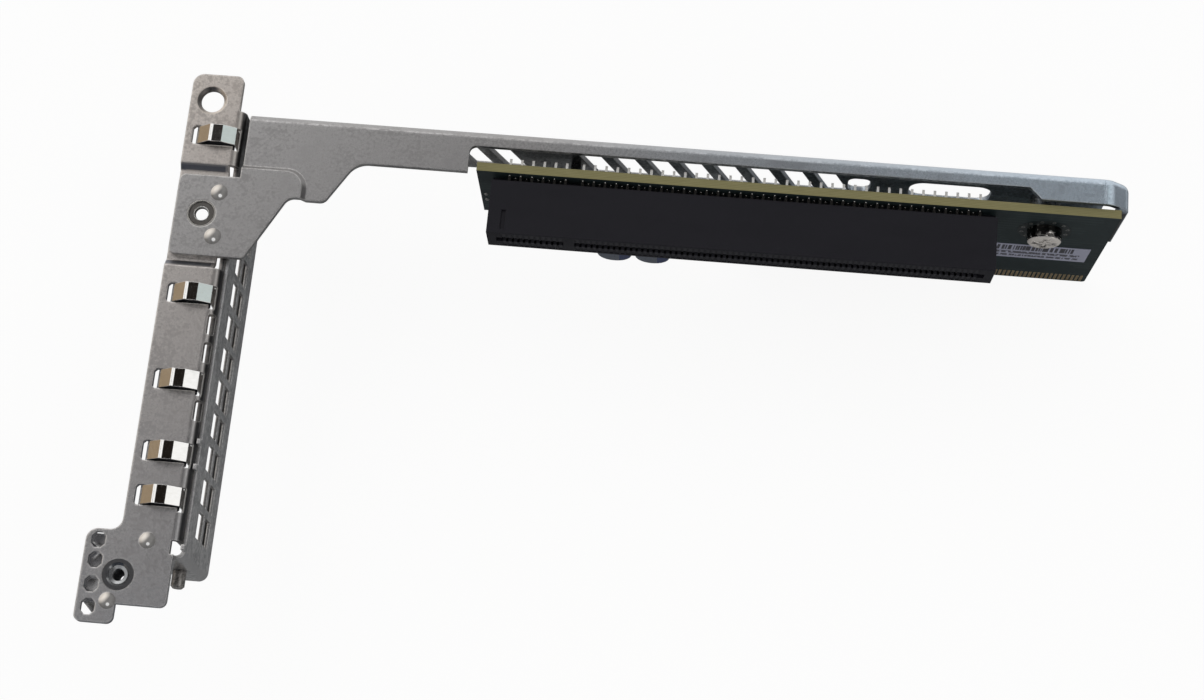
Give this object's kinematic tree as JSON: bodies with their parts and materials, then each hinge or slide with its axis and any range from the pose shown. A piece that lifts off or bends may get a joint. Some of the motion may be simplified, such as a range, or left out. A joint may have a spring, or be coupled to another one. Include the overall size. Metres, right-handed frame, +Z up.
{
  "type": "riser card assembly",
  "caption": "L-shaped sheet-steel riser frame with spring clips and vent panel at one end, carrying an upright circuit board with an edge plug and a long keyed card slot facing sideways.",
  "frame": {"origin": "bottom edge of the board's plug, at the middle of the plug's width and of the board's thickness", "axes": "+Z up, away from the socket the plug enters; +X along the board towards its free end; -Y the way the card slot faces"},
  "size_m": [0.1725, 0.0993, 0.037],
  "materials": {
    "zinc_steel": "galvanised, satin",
    "spring_steel": "nickel plated, bright",
    "plated_steel": "zinc plated",
    "dark_steel": "black",
    "laminate": "dark green solder mask over laminate",
    "slot_plastic": "black moulded",
    "base_plastic": "black moulded",
    "tinned": "tin plated",
    "gold": "gold plated",
    "can": "blue grey can",
    "label": "matt"
  },
  "bodies": {
    "root": {"arm_bracket": "zinc_steel", "rear_bracket": "zinc_steel", "vent_panel": "zinc_steel", "backing_plate": "zinc_steel", "riser_board": "laminate", "fingers_front": "gold", "fingers_back": "gold", "slot_housing": "slot_plastic", "contacts_upper": "tinned", "contacts_lower": "tinned", "tails_upper": "tinned", "tails_lower": "tinned", "board_screw": "plated_steel", "standoff": "plated_steel", "locating_pin": "dark_steel", "capacitor_1_base": "base_plastic", "capacitor_1_can": "can", "capacitor_2_base": "base_plastic", "capacitor_2_can": "can", "board_label": "label", "joint_rivet": "plated_steel", "captive_nut": "plated_steel", "panel_stud": "plated_steel", "spring_clip_1": "spring_steel", "spring_clip_2": "spring_steel", "spring_clip_3": "spring_steel", "spring_clip_4": "spring_steel", "spring_clip_5": "spring_steel"}
  },
  "joints": []
}
